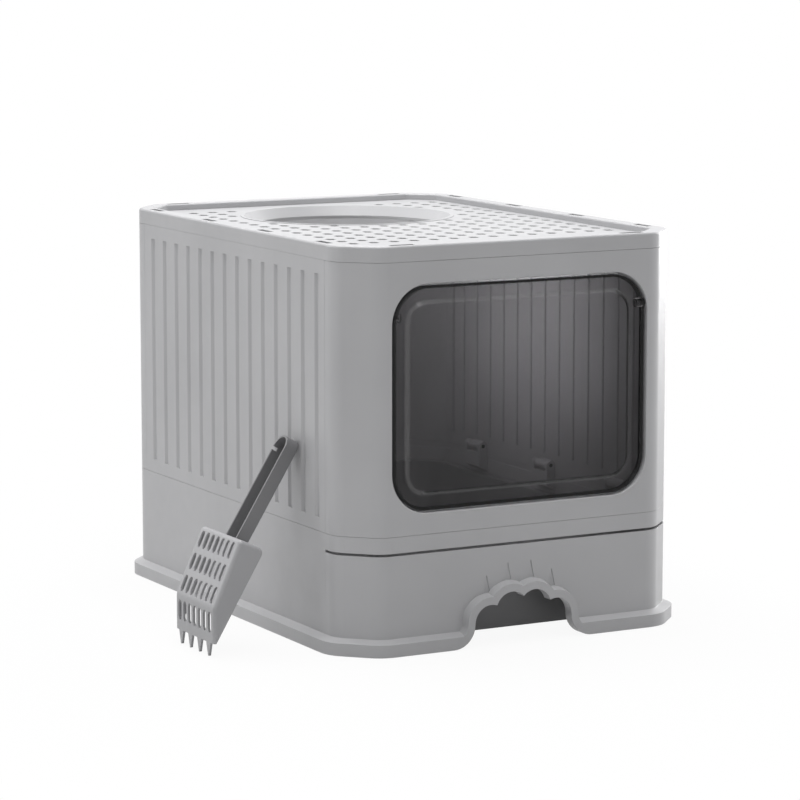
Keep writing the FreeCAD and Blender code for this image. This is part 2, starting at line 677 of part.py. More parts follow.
def end_panel(label, end):
    """Front (end -1) or rear (end 1) wall, wrapped round both corners, with tongues for base and lid."""
    body = new_body(label)
    walls = sketch_on(body, "walls", "XY_Plane", "base_height + seam")
    ring_between(walls, "0", "wall")
    pad(body, walls, f"{LID_SEAM} - base_height - 2 * seam")
    rest = sketch_on(body, "rest", "XY_Plane", "total_height")
    if end > 0:
        across(rest, f"-{HALF_DEPTH} - wall", TANGENT)
    else:
        across(rest, f"-{TANGENT}", f"{HALF_DEPTH} + wall")
    pocket(body, rest, "total_height")

    half = f"({HALF_WIDTH} - corner_run)"
    face = f"({HALF_DEPTH} - lip_wall - fit)"
    depths = (f"{face} - tongue_thick", face) if end > 0 else (f"-{face}", f"tongue_thick - {face}")
    for name, foot, height in (
        ("lower_tongue", "base_height - lip_depth + fit", "lip_depth - fit + seam + tongue_root"),
        ("upper_tongue", f"{LID_SEAM} - seam - tongue_root", "tongue_root + seam + tongue_up"),
    ):
        tongue = sketch_on(body, name, "XY_Plane", foot)
        rectangle(tongue, f"-{half}", half, *depths)
        pad(body, tongue, height)
    return body


def door_outline(sketch, inset):
    """The door opening, moved inwards."""
    rounded_rectangle(
        sketch,
        f"({inset}) - {DOOR_HALF}",
        f"{DOOR_HALF} - ({inset})",
        f"{DOOR_BOTTOM} + ({inset})",
        f"{DOOR_TOP} - ({inset})",
        f"door_corner - ({inset})",
    )


def front_panel():
    body = end_panel("front_panel", -1)
    opening = sketch_on(body, "opening", "XZ_Plane", HALF_DEPTH)
    door_outline(opening, "0")
    opened = pocket(body, opening, "door_return")
    front = -mm(HALF_DEPTH)
    reach = 2 * mm("wall")

    def on_opening(edge):
        box = edge.BoundBox
        inside = max(abs(box.XMin), abs(box.XMax)) < mm(DOOR_HALF) + reach
        return inside and box.YMax < front + mm("wall") / 2 and box.ZMin > mm(DOOR_BOTTOM) - reach and \
            box.ZMax < mm(DOOR_TOP) + reach

    dress(body, "Chamfer", opened, on_opening, "door_bevel")
    frame = sketch_on(body, "frame", "XZ_Plane", f"{HALF_DEPTH} - wall / 2 - door_bevel / 2")
    door_outline(frame, "-wall")
    door_outline(frame, "0")
    pad(body, frame, "door_return", backwards=True)
    for side in (-1, 1):
        bore = sketch_on(body, f"pivot_{side + 2}", "YZ_Plane", f"{side} * ({DOOR_HALF} - door_gap)")
        round_hole(bore, PIVOT_Y, PIVOT_Z, "pivot_radius")
        pocket(body, bore, "door_gap + wall + fit", along=side > 0)
    return body


def door_pin(label, side):
    """Pin that sits in the door frame and carries the flap."""
    pin = doc.addObject("Part::Cylinder", label)
    pin.Label = label
    bind(pin, "Radius", "pivot_radius")
    bind(pin, "Height", "pivot_engage + door_gap + wall")
    lying = FreeCAD.Rotation(FreeCAD.Vector(0, 1, 0), 90 * side)
    pin.Placement = FreeCAD.Placement(FreeCAD.Vector(), lying)
    bind(pin, "Placement.Base.x", f"{side} * ({DOOR_HALF} - door_gap - pivot_engage)")
    bind(pin, "Placement.Base.y", PIVOT_Y)
    bind(pin, "Placement.Base.z", PIVOT_Z)
    return pin


def door_flap():
    body = new_body("door_flap")
    face = f"({HALF_DEPTH} - door_recess)"
    plate = sketch_on(body, "plate", "XZ_Plane", face)
    door_outline(plate, "door_gap")
    pad(body, plate, "door_thick", backwards=True)
    bead = sketch_on(body, "bead", "XZ_Plane", face)
    door_outline(bead, "door_gap")
    door_outline(bead, "door_gap + bead_width")
    pad(body, bead, "bead_height")
    margin = "(door_gap + pane_margin)"
    step_low = sketch_on(body, "step_low", "XZ_Plane", face)
    door_outline(step_low, margin)
    step_high = sketch_on(body, "step_high", "XZ_Plane", f"{face} + pane_rise")
    door_outline(step_high, f"{margin} + pane_slope")
    loft(body, step_low, step_high)
    back_low = sketch_on(body, "back_low", "XZ_Plane", f"{face} - door_thick")
    door_outline(back_low, f"{margin} + door_thick / 2")
    back_high = sketch_on(body, "back_high", "XZ_Plane", f"{face} - door_thick + pane_rise")
    door_outline(back_high, f"{margin} + door_thick / 2 + pane_slope")
    loft(body, back_low, back_high, "Subtractive")
    edge = f"({DOOR_HALF} - door_gap)"
    for side in (-1, 1):
        boss = sketch_on(body, f"boss_{side + 2}", "YZ_Plane", f"{side} * ({edge} - boss_length)")
        round_hole(boss, PIVOT_Y, PIVOT_Z, "boss_radius")
        pad(body, boss, "boss_length", backwards=side < 0)
        bore = sketch_on(body, f"bore_{side + 2}", "YZ_Plane", f"{side} * {edge}")
        round_hole(bore, PIVOT_Y, PIVOT_Z, "pivot_radius + running")
        pocket(body, bore, "pivot_engage + fit", along=side < 0)
    return body


def side_panel(label, side):
    """Ribbed side wall with knuckles at its foot and an edge that reaches behind its neighbours."""
    body = new_body(label)
    inward_is_back = side > 0
    length = f"({TANGENT} - seam)"
    low = "(base_height + seam)"
    high = f"({LID_SEAM} - tight)"

    def from_face(depth):
        return f"{side} * ({HALF_WIDTH} - ({depth}))"

    plate = sketch_on(body, "plate", "YZ_Plane", from_face("0"))
    rectangle(plate, f"-{length}", length, low, high)
    pad(body, plate, "wall", backwards=inward_is_back)

    spread = mm(f"2 * ({length} - groove_side)")
    count = int(spread / mm("groove_pitch")) + 1
    first = f"({count - 1} * groove_pitch / 2)"
    middle = f"(groove_shift - {first})"
    groove_low = f"(base_height + {FOLD_RISE[side]} + groove_foot)"
    groove_high = f"({LID_SEAM} - groove_end)"

    def upright(name, depth, margin, ends):
        """Rectangle over the first groove, wider by a margin and longer at both ends, behind the face."""
        sketch = sketch_on(body, name, "YZ_Plane", from_face(depth))
        rectangle(
            sketch,
            f"{middle} - groove_width / 2 - ({margin})",
            f"{middle} + groove_width / 2 + ({margin})",
            f"{groove_low} - ({ends})",
            f"{groove_high} + ({ends})",
        )
        return sketch

    rib = upright("rib", "wall - fit", "rib_wall", "rib_wall")
    raised = pad(body, rib, "groove_depth + fit", backwards=inward_is_back)
    mouth = upright("groove", "0", "0", "0")
    sunk = loft(body, mouth, upright("groove_floor", "groove_depth", "-groove_slope", "0"), "Subtractive")
    repeat(body, [raised, sunk], "Y_Axis", f"{count - 1} * groove_pitch", count)

    axis_z = f"(base_height + {FOLD_RISE[side]})"
    foot = mm(f"{axis_z} + hinge_inset")
    inner_y = mm(f"{length} - cheek_in")
    inner_z = mm(f"{high} - cheek_in")

    def arch(outer_y, outer_z):
        return [
            [(-outer_y, foot)], [(-outer_y, outer_z)], [(outer_y, outer_z)], [(outer_y, foot)],
            [(inner_y, foot)], [(inner_y, inner_z)], [(-inner_y, inner_z)], [(-inner_y, foot)],
        ]

    root = sketch_on(body, "cheek_root", "YZ_Plane", from_face("wall - fit"))
    outline(root, arch(mm(f"{length} - seam"), mm(f"{high} - seam")))
    pad(body, root, "cheek_set + cheek_thick + fit", backwards=inward_is_back)
    cheek = sketch_on(body, "cheek", "YZ_Plane", from_face("wall + cheek_set"))
    outline(cheek, arch(mm(f"{length} + cheek_out"), mm(f"{high} + cheek_up")))
    pad(body, cheek, "cheek_thick", backwards=inward_is_back)

    inset = mm("hinge_inset")
    radius = mm("knuckle_radius")
    rise = mm(axis_z)
    root_depth = mm("wall - fit")

    def place(depth, height):
        return (side * (mm(HALF_WIDTH) - depth), height)

    ear = sketch_on(body, "knuckle", "XZ_Plane", f"{HINGE_PITCH} - knuckle_width / 2")
    root_low = max(rise - radius, mm(low)) + mm("seam")
    outline(ear, [
        [place(root_depth, root_low)],
        [place(inset, rise - radius)],
        [place(inset + radius, rise), place(inset, rise + radius)],
        [place(root_depth, rise + radius)],
    ])
    knuckle = pad(body, ear, "knuckle_width")
    bore = sketch_on(body, "bore", "XZ_Plane", f"{HINGE_PITCH} - knuckle_width / 2")
    round_hole(bore, f"{side} * ({HALF_WIDTH} - hinge_inset)", axis_z, "hinge_pin_radius + running")
    bored = pocket(body, bore, "knuckle_width", along=True)
    repeat(body, [knuckle, bored], "Y_Axis", f"2 * {HINGE_PITCH}", HINGE_COUNT)
    return body


def lid_rim():
    body = new_body("lid_rim")
    block = sketch_on(body, "block", "XY_Plane", LID_SEAM)
    wall_outline(block, "0")
    solid = pad(body, block, "skirt_height")
    top = mm("total_height")
    rounded = dress(body, "Fillet", solid, lambda edge: edge.BoundBox.ZMin > top - mm("fit"), "rim_edge")
    hollow = sketch_on(body, "hollow", "XY_Plane", LID_SEAM)
    wall_outline(hollow, "lip_wall")
    pocket(body, hollow, "skirt_height - rim_thick", along=True)
    window = sketch_on(body, "window", "XY_Plane", "total_height")
    wall_outline(window, "rim_width")
    framed = pocket(body, window, "rim_thick")
    inside = mm(f"{HALF_DEPTH} - rim_width + fit")

    def over_deck(edge):
        box = edge.BoundBox
        return box.ZMin > top - mm("fit") and max(abs(box.YMin), abs(box.YMax)) < inside

    dress(body, "Fillet", framed, over_deck, "rim_inner_edge")
    inner = sketch_on(body, "inner_wall", "XY_Plane", f"{DECK_BOTTOM} - ledge_thick")
    ring_between(inner, "rim_width - lip_wall", "rim_width")
    pad(body, inner, "deck_drop + deck_thick + ledge_thick - rim_inner_edge")
    ledge = sketch_on(body, "ledge", "XY_Plane", f"{DECK_BOTTOM} - ledge_thick")
    ring_between(ledge, "rim_width - lip_wall", "rim_width + ledge_width")
    pad(body, ledge, "ledge_thick")

    last = f"({TANGENT} - slot_end_side)"
    for side in (-1, 1):
        slot = sketch_on(body, f"side_slot_{side + 2}", "XY_Plane", "total_height")
        rectangle(
            slot,
            f"{side} * ({HALF_WIDTH} - slot_inset) - slot_width / 2",
            f"{side} * ({HALF_WIDTH} - slot_inset) + slot_width / 2",
            f"-{last} - slot_length / 2",
            f"-{last} + slot_length / 2",
        )
        cut = pocket(body, slot, "2 * rim_thick")
        repeat(body, [cut], "Y_Axis", f"2 * {last}", SIDE_SLOTS)
        ends = sketch_on(body, f"end_slot_{side + 2}", "XY_Plane", "total_height")
        for hand in (-1, 1):
            middle = f"{hand} * ({HALF_WIDTH} - corner_run - slot_end_front)"
            depth = f"{side} * ({HALF_DEPTH} - slot_inset)"
            rectangle(
                ends,
                f"{middle} - slot_length / 2",
                f"{middle} + slot_length / 2",
                f"{depth} - slot_width / 2",
                f"{depth} + slot_width / 2",
            )
        pocket(body, ends, "2 * rim_thick")
    return body


def lid_deck():
    """Perforated plate: one face with the entry hole and rows of six-sided holes, made thick."""
    inset = mm("rim_width + fit")
    half_x = mm(HALF_WIDTH) - inset
    half_y = mm(HALF_DEPTH) - inset
    bottom = mm(DECK_BOTTOM)
    corner = FreeCAD.Vector(-half_x, -half_y, bottom)
    plate = Part.makeBox(2 * half_x, 2 * half_y, mm("deck_thick"), corner)

    def upright(shape):
        return [edge for edge in shape.Edges if edge.BoundBox.ZLength > mm("deck_thick") / 2]

    plate = plate.makeChamfer(mm("corner_cut") - inset * FACET_SHIFT, upright(plate))
    plate = plate.makeFillet(mm("corner_round") - inset, upright(plate))
    face = next(face for face in plate.Faces if face.BoundBox.ZMax < bottom + mm("fit"))
    entry_y = mm(RING_Y)
    entry = mm("ring_radius - ring_lip")
    centre = FreeCAD.Vector(0, entry_y, bottom)
    wires = [Part.Wire([Part.makeCircle(entry, centre)])]
    clear = mm("ring_radius + hole_length / 2 + fit")
    across_count = int((2 * half_x - 2 * mm("hole_margin_x - fit")) / mm("hole_pitch_x")) + 1
    along_count = int((2 * half_y - 2 * mm("hole_margin_y - fit")) / mm("hole_pitch_y")) + 1
    for column in range(across_count):
        x = (column - (across_count - 1) / 2) * mm("hole_pitch_x")
        for line in range(along_count):
            y = mm("hole_shift") + (line - (along_count - 1) / 2) * mm("hole_pitch_y")
            if math.hypot(x, y - entry_y) > clear:
                wires.append(perforation(x, y, bottom))
    holed = Part.Face([face.OuterWire] + wires)
    holed.validate()
    feature = doc.addObject("Part::Feature", "lid_deck")
    feature.Label = "lid_deck"
    feature.Shape = holed.extrude(FreeCAD.Vector(0, 0, mm("deck_thick")))
    return feature


def perforation(x, y, z):
    """Long six-sided hole that tapers at both ends."""
    half = mm("hole_width") / 2
    reach = mm("hole_length") / 2
    shoulder = reach - half * 2 / 3
    right = [(half, -shoulder), (half, shoulder), (0, reach)]
    points = right + [(-dx, -dy) for dx, dy in right]
    corners = [FreeCAD.Vector(x + dx, y + dy, z) for dx, dy in points]
    return Part.makePolygon(corners + corners[:1])


def entry_ring():
    """Funnel that drops into the deck: a thin lip, a cone and a collar, turned about the entry's axis."""
    body = new_body("entry_ring")
    outer = mm("ring_radius")
    seat = outer - mm("ring_lip") - mm("fit")
    throat = mm("ring_throat")
    thick = mm("ring_wall")
    deck = mm(DECK_TOP)
    lip = deck + mm("ring_lip_thick")
    foot = deck - mm("ring_drop")
    collar = foot - mm("ring_collar")
    profile = sketch_on(body, "profile", "XZ_Plane", f"-{RING_Y}")
    outline(profile, [
        [(outer, deck)],
        [(outer, lip)],
        [(seat, lip)],
        [(throat, foot)],
        [(throat, collar)],
        [(throat + thick, collar)],
        [(throat + thick, foot - thick / 2)],
        [(seat, deck - mm("deck_thick"))],
        [(seat, deck)],
    ])
    turned = body.newObject("PartDesign::Revolution", "entry_ring_turned")
    turned.Profile = profile
    turned.ReferenceAxis = (profile, ["V_Axis"])
    turned.Angle = 360
    doc.recompute()
    return body


def scoop_points():
    """Corners of the scoop head's side, from the foot of the plate to the deep end."""
    tilt = math.radians(mm("head_tilt"))
    along = (math.sin(tilt), math.cos(tilt))
    inward = (math.cos(tilt), -math.sin(tilt))
    foot_x = -mm(HALF_WIDTH) - mm("scoop_reach")
    foot = (foot_x, mm("tine_length"))
    bend = (foot_x, mm("head_bend"))
    top = (bend[0] + mm("head_slope") * along[0], bend[1] + mm("head_slope") * along[1])
    deep = (top[0] + mm("head_depth") * inward[0], top[1] + mm("head_depth") * inward[1])
    return foot, bend, top, deep, along, inward


def corner_waste(corner, one, other, radius):
    """Outline of what a rounding takes off the corner between two neighbouring points."""
    def towards(point):
        length = math.dist(corner, point)
        return ((point[0] - corner[0]) / length, (point[1] - corner[1]) / length)

    def from_corner(direction, distance):
        return (corner[0] + distance * direction[0], corner[1] + distance * direction[1])

    first, second = towards(one), towards(other)
    half = math.acos(first[0] * second[0] + first[1] * second[1]) / 2
    width = 2 * math.cos(half)
    inwards = ((first[0] + second[0]) / width, (first[1] + second[1]) / width)
    reach = radius / math.tan(half)
    depth = radius / math.sin(half) - radius
    return [
        [from_corner(first, reach)],
        [from_corner(inwards, depth), from_corner(second, reach)],
        [from_corner(inwards, -depth)],
    ]


def scoop_head():
    body = new_body("scoop_head")
    foot, bend, top, deep, along, inward = scoop_points()
    wall = mm("head_wall")
    tip = (foot[0] + wall, foot[1])
    side = sketch_on(body, "side", "XZ_Plane", f"-{SCOOP_Y} - head_width / 2")
    outline(side, [[foot], [bend], [top], [deep], [tip]])
    block = pad(body, side, "head_width")
    small = mm("fit")

    def crease(place):
        """Picks the edge that runs across the head through a corner of its side."""
        def near(edge):
            box = edge.BoundBox
            away = math.hypot(box.XMin - place[0], box.ZMin - place[1])
            return box.YLength > mm("head_width") / 2 and away < wall
        return near

    def side_edge(edge):
        """Picks the edges of both sides along the plate and the deep end."""
        box = edge.BoundBox
        open_edge = box.XMax > deep[0] - small and box.ZMin < foot[1] + small
        return box.YLength < small and not open_edge and box.ZMax > foot[1] + small

    bowed = dress(body, "Fillet", block, crease(bend), "head_bow")
    topped = dress(body, "Fillet", bowed, crease(top), "head_edge")
    dress(body, "Fillet", topped, side_edge, "head_edge")
    deep_corner = sketch_on(body, "deep_corner", "XZ_Plane", f"-{SCOOP_Y} - head_width / 2")
    outline(deep_corner, corner_waste(deep, top, tip, mm("head_corner")))
    pocket(body, deep_corner, "head_width", along=True)
    turn = math.tan(math.radians(mm("head_tilt")) / 2)
    inner_bend = (bend[0] + wall, bend[1] - wall * turn)
    inner_top = (
        top[0] + wall * (inward[0] - along[0]),
        top[1] + wall * (inward[1] - along[1]),
    )
    past = mm("head_depth")
    inner_deep = (inner_top[0] + past * inward[0], inner_top[1] + past * inward[1])
    inner_tip = (foot[0] + wall, foot[1] - past / 2)
    pan = sketch_on(body, "pan", "XZ_Plane", f"-{SCOOP_Y} - head_width / 2 + head_wall")
    outline(pan, [[inner_tip], [inner_bend], [inner_top], [inner_deep]])
    pocket(body, pan, "head_width - 2 * head_wall", along=True)

    first = f"{SCOOP_Y} - {SIFT_COLUMNS - 1} * sift_pitch / 2"
    upper = sketch_on(body, "sift", "YZ_Plane")
    upper.AttachmentOffset = FreeCAD.Placement(
        FreeCAD.Vector(0, bend[1], bend[0]),
        FreeCAD.Rotation(FreeCAD.Vector(1, 0, 0), mm("head_tilt")),
    )
    bind(upper, "AttachmentOffset.Base.z", f"-{HALF_WIDTH} - scoop_reach")
    bind(upper, "AttachmentOffset.Base.y", "head_bend")
    upright_slot(upper, first, "sift_start", "sift_start + sift_length", "sift_width")
    sifted = pocket(body, upper, "2 * head_wall", along=True)
    grid = repeat(body, [sifted], "Y_Axis", f"{SIFT_COLUMNS - 1} * sift_pitch", SIFT_COLUMNS)
    grid.Direction2 = (upper, ["V_Axis"])
    bind(grid, "Length2", f"{SIFT_ROWS - 1} * sift_row")
    grid.Occurrences2 = SIFT_ROWS
    doc.recompute()
    lower = sketch_on(body, "sift_low", "YZ_Plane", f"-{HALF_WIDTH} - scoop_reach")
    low_top = "(head_bend - sift_start - head_wall)"
    upright_slot(lower, first, f"{low_top} - sift_low", low_top, "sift_width")
    sifted_low = pocket(body, lower, "2 * head_wall", along=True)
    repeat(body, [sifted_low], "Y_Axis", f"{SIFT_COLUMNS - 1} * sift_pitch", SIFT_COLUMNS)

    tine = sketch_on(body, "tine", "YZ_Plane", f"-{HALF_WIDTH} - scoop_reach")
    middle = mm(f"{SCOOP_Y} - {TINE_COUNT - 1} * tine_pitch / 2")
    root = mm("tine_root") / 2
    point = mm("tine_tip") / 2
    height = foot[1] + wall
    outline(tine, [
        [(middle - root, height)],
        [(middle - point, point)],
        [(middle, 0), (middle + point, point)],
        [(middle + root, height)],
    ])
    spike = pad(body, tine, "head_wall")
    repeat(body, [spike], "Y_Axis", f"{TINE_COUNT - 1} * tine_pitch", TINE_COUNT)
    return body


def scoop_handle():
    """Channel handle, open away from the box, with a round tip and a hanging notch."""
    body = new_body("scoop_handle")
    depth = mm("handle_depth")
    length = mm("handle_length")
    lean = mm("handle_tilt")
    foot, bend, top, deep, along, inward = scoop_points()
    slant = depth * math.tan(math.radians(lean - mm("head_tilt")))
    side = sketch_on(body, "side", "XZ_Plane", "-handle_width / 2")
    outline(side, [[(0, 0)], [(0, length)], [(depth, length)], [(depth, slant)]])
    bar = pad(body, side, "handle_width")

    def at_tip(edge):
        box = edge.BoundBox
        return box.ZMin > length - mm("fit") and box.XLength > depth / 2

    dress(body, "Fillet", bar, at_tip, "handle_tip")
    channel = sketch_on(body, "channel", "YZ_Plane")
    inner = mm("handle_width / 2 - handle_wall")
    crown = mm("handle_length - handle_wall")
    outline(channel, [
        [(-inner, -depth)],
        [(inner, -depth)],
        [(inner, crown - inner)],
        [(0, crown), (-inner, crown - inner)],
    ])
    pocket(body, channel, "handle_depth - handle_wall", along=True)
    hook = sketch_on(body, "hook", "YZ_Plane")
    rectangle(
        hook,
        "handle_width / 2 - hook_depth",
        "handle_width",
        "handle_length - hook_drop - hook_width",
        "handle_length - hook_drop",
    )
    pocket(body, hook, "hook_reach", along=True)
    angle = math.radians(lean)
    start_x = -mm(HALF_WIDTH) - mm("fit") - depth * math.cos(angle) - length * math.sin(angle)
    run = (start_x - top[0]) / inward[0]
    place = FreeCAD.Vector(start_x, mm(SCOOP_Y), top[1] + run * inward[1])
    body.Placement = FreeCAD.Placement(place, FreeCAD.Rotation(FreeCAD.Vector(0, 1, 0), lean))
    doc.recompute()
    return body


pieces = [
    base_frame(),
    hinge_pin("left_hinge_pin_front", -1, -1),
    hinge_pin("left_hinge_pin_middle", -1, 0),
    hinge_pin("left_hinge_pin_rear", -1, 1),
    hinge_pin("right_hinge_pin_front", 1, -1),
    hinge_pin("right_hinge_pin_middle", 1, 0),
    hinge_pin("right_hinge_pin_rear", 1, 1),
    drawer_front(),
    litter_tray(),
    front_panel(),
    end_panel("rear_panel", 1),
    door_flap(),
    door_pin("door_pin_left", -1),
    door_pin("door_pin_right", 1),
    side_panel("left_side_panel", -1),
    side_panel("right_side_panel", 1),
    lid_rim(),
    lid_deck(),
    entry_ring(),
    scoop_head(),
    scoop_handle(),
]
doc.recompute()

# Every object has to be sound before any file is written
for thing in doc.Objects:
    if "Invalid" in thing.State or "Error" in thing.State:
        raise RuntimeError(f"{thing.Name} failed: {thing.State}")
for piece in pieces:
    if piece.Shape.isNull() or not piece.Shape.isValid():
        raise RuntimeError(f"{piece.Label} has no sound shape")

os.makedirs("parts", exist_ok=True)
for piece in pieces:
    piece.Shape.exportStep(f"parts/{piece.Label}.step")
    box = piece.Shape.BoundBox
    spans = ((box.XMin, box.XMax), (box.YMin, box.YMax), (box.ZMin, box.ZMax))
    reach = ", ".join(f"{low:.1f} {high:.1f}" for low, high in spans)
    print(f"{piece.Label}: {len(piece.Shape.Solids)} solids, {piece.Shape.Volume / 1000:.1f} cm3, {reach}")
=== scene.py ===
# %% [markdown]
# # A covered litter box, dressed for a studio picture
#
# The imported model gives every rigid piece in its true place. This script gives the pieces their plastics,
# sets up a pale studio and looks at the box from the left of its front, a little above the lid.
# Every length is in metres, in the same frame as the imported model: x to the right, y to the rear, z up.

# %% Load the frame
import json
import math

import bmesh
import bpy
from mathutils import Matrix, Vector

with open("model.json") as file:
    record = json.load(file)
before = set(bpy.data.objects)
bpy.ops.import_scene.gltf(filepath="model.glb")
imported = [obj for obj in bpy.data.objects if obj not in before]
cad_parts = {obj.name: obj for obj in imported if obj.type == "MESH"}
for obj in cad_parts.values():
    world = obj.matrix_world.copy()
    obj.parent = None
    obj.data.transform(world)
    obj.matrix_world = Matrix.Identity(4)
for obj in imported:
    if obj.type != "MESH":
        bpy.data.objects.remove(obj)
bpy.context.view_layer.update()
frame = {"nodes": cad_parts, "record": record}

nodes = frame["nodes"]
scene = bpy.context.scene
print("loaded", len(nodes), "rigid pieces")

# %% [markdown]
# ## Clouds and grain
#
# Moulded plastic is never one flat colour: the melt cools unevenly, and the mould leaves a fine grain.
# A picture could be wrapped round each piece, but noise nodes need no file and fit every shape. They read
# Object coordinates, so the pattern has one scale on the whole box and stays on a piece that moves.

# %% Noise over a piece
def new_material(name):
    material = bpy.data.materials.new(name)
    material.use_nodes = True
    tree = material.node_tree
    shader = tree.nodes["Principled BSDF"]
    return material, tree, shader


def noise(tree, scale, detail=2.0):
    """Noise over the object's own coordinates, in cycles per metre."""
    coords = tree.nodes.new("ShaderNodeTexCoord")
    texture = tree.nodes.new("ShaderNodeTexNoise")
    texture.inputs["Scale"].default_value = scale
    texture.inputs["Detail"].default_value = detail
    texture.inputs["Roughness"].default_value = 0.5
    tree.links.new(coords.outputs["Object"], texture.inputs["Vector"])
    return texture.outputs["Fac"]


# %% [markdown]
# ## From noise to tones
#
# A noise value keeps mostly to the middle of its range. Stretching that middle part makes full use of two
# close tones, or of a range of gloss. A colour ramp could do it too, but a Map Range node keeps both ends as
# plain numbers that are easy to adjust.

# %% Ranges and tones
NOISE_LOW = 0.3
NOISE_HIGH = 0.7
# A Mix node has sockets for every kind of value, so those of a colour are picked by their number.
FACTOR, TONE_A, TONE_B, TONE_OUT = 0, 6, 7, 2


def spread(tree, value, low, high):
    """Maps the middle of a noise value to a range."""
    node = tree.nodes.new("ShaderNodeMapRange")
    node.inputs["From Min"].default_value = NOISE_LOW
    node.inputs["From Max"].default_value = NOISE_HIGH
    node.inputs["To Min"].default_value = low
    node.inputs["To Max"].default_value = high
    tree.links.new(value, node.inputs["Value"])
    return node.outputs["Result"]


def two_tones(tree, value, dark, light):
    node = tree.nodes.new("ShaderNodeMix")
    node.data_type = "RGBA"
    node.inputs[TONE_A].default_value = (*dark, 1)
    node.inputs[TONE_B].default_value = (*light, 1)
    tree.links.new(spread(tree, value, 0, 1), node.inputs[FACTOR])
    return node.outputs[TONE_OUT]


# %% [markdown]
# ## Moulded plastic
#
# The shell, the tray and the scoop are satin mouldings with slightly rounded edges. Broad clouds mix the
# tones, finer ones vary the gloss, and the finest are the grain. Real roundings on every small edge would
# cost many faces, so a Bevel node rounds only the shading there, and the edges still catch the light.

# %% A moulded plastic
TONE_CLOUDS = 9
GLOSS_CLOUDS = 60
GRAIN_CLOUDS = 900
GRAIN_STRENGTH = 0.25
PLASTIC_IOR = 1.49


def moulded(name, dark, light, gloss, grain, edge):
    """Opaque moulded plastic: two close tones, a range of roughness, grain depth and edge rounding."""
    material, tree, shader = new_material(name)
    tree.links.new(two_tones(tree, noise(tree, TONE_CLOUDS), dark, light), shader.inputs["Base Color"])
    tree.links.new(spread(tree, noise(tree, GLOSS_CLOUDS, 3), *gloss), shader.inputs["Roughness"])
    bevel = tree.nodes.new("ShaderNodeBevel")
    bevel.samples = 6
    bevel.inputs["Radius"].default_value = edge
    bump = tree.nodes.new("ShaderNodeBump")
    bump.inputs["Strength"].default_value = GRAIN_STRENGTH
    bump.inputs["Distance"].default_value = grain
    tree.links.new(noise(tree, GRAIN_CLOUDS), bump.inputs["Height"])
    tree.links.new(bevel.outputs["Normal"], bump.inputs["Normal"])
    tree.links.new(bump.outputs["Normal"], shader.inputs["Normal"])
    shader.inputs["IOR"].default_value = PLASTIC_IOR
    return material


# %% [markdown]
# ## The opaque pieces
#
# The walls, the drawer's front and the lid are one pale grey. The deck has the same grey with softer edges
# round its holes. The scoop is a little darker, the tray and the handle are dark grey, and the pins are
# nearly black. One function makes them all, so they look like mouldings of one family.

# %% Opaque plastics
SHELL_TONES = ((0.38, 0.38, 0.39), (0.41, 0.41, 0.42))
SCOOP_TONES = ((0.31, 0.31, 0.32), (0.34, 0.34, 0.35))
HANDLE_TONES = ((0.165, 0.165, 0.17), (0.185, 0.185, 0.19))
PIN_TONES = ((0.03, 0.03, 0.03), (0.04, 0.04, 0.04))
TRAY_TONES = ((0.17, 0.17, 0.175), (0.2, 0.2, 0.205))
SATIN = (0.36, 0.46)

shell = moulded("shell_plastic", *SHELL_TONES, SATIN, grain=0.00006, edge=0.0004)
deck_plastic = moulded("deck_plastic", *SHELL_TONES, SATIN, grain=0.00006, edge=0.0018)
scoop_plastic = moulded("scoop_plastic", *SCOOP_TONES, (0.34, 0.46), grain=0.00006, edge=0.0010)
handle_plastic = moulded("handle_plastic", *HANDLE_TONES, (0.32, 0.42), grain=0.00008, edge=0.0008)
pin_plastic = moulded("pin_plastic", *PIN_TONES, (0.12, 0.2), grain=0.00004, edge=0.0005)
tray_plastic = moulded("tray_plastic", *TRAY_TONES, SATIN, grain=0.00006, edge=0.0012)
opaque = [shell, deck_plastic, scoop_plastic, handle_plastic, pin_plastic, tray_plastic]
print("made", len(opaque), "opaque plastics")

# %% [markdown]
# ## Across the flap
#
# The flap is one clear sheet, but its thick bead is tinted nearly black, partly for the thicker plastic and
# partly as painted shade of the gap round the flap, and the step round its raised pane carries a painted
# highlight. Both run at a fixed distance from its rounded edge. Separate pieces could carry them, but one
# distance, worked out from Object coordinates, places both on the sheet itself.

# %% Distance outwards on the flap
FLAP_HALF_WIDTH = 0.1358
FLAP_HALF_HEIGHT = 0.1048
FLAP_MIDDLE = 0.238
FLAP_RADIUS = 0.0358
ANY_DEPTH = 1


def vector_step(tree, operation, vector, amounts):
    node = tree.nodes.new("ShaderNodeVectorMath")
    node.operation = operation
    node.inputs[1].default_value = amounts
    tree.links.new(vector, node.inputs[0])
    return node.outputs["Vector"]


def across_flap(tree):
    """Distance outwards from the straight core of the flap; its edge lies at the radius of its corners."""
    core = (FLAP_HALF_WIDTH - FLAP_RADIUS, ANY_DEPTH, FLAP_HALF_HEIGHT - FLAP_RADIUS)
    coords = tree.nodes.new("ShaderNodeTexCoord")
    place = vector_step(tree, "SUBTRACT", coords.outputs["Object"], (0, 0, FLAP_MIDDLE))
    place = vector_step(tree, "ABSOLUTE", place, (0, 0, 0))
    place = vector_step(tree, "SUBTRACT", place, core)
    place = vector_step(tree, "MAXIMUM", place, (0, 0, 0))
    length = tree.nodes.new("ShaderNodeVectorMath")
    length.operation = "LENGTH"
    tree.links.new(place, length.inputs[0])
    return length.outputs["Value"]


def beyond(tree, value, start, blur):
    """Rises smoothly from 0 to 1 as the value passes the start."""
    node = tree.nodes.new("ShaderNodeMapRange")
    node.interpolation_type = "SMOOTHSTEP"
    node.inputs["From Min"].default_value = start - blur
    node.inputs["From Max"].default_value = start + blur
    tree.links.new(value, node.inputs["Value"])
    return node.outputs["Result"]


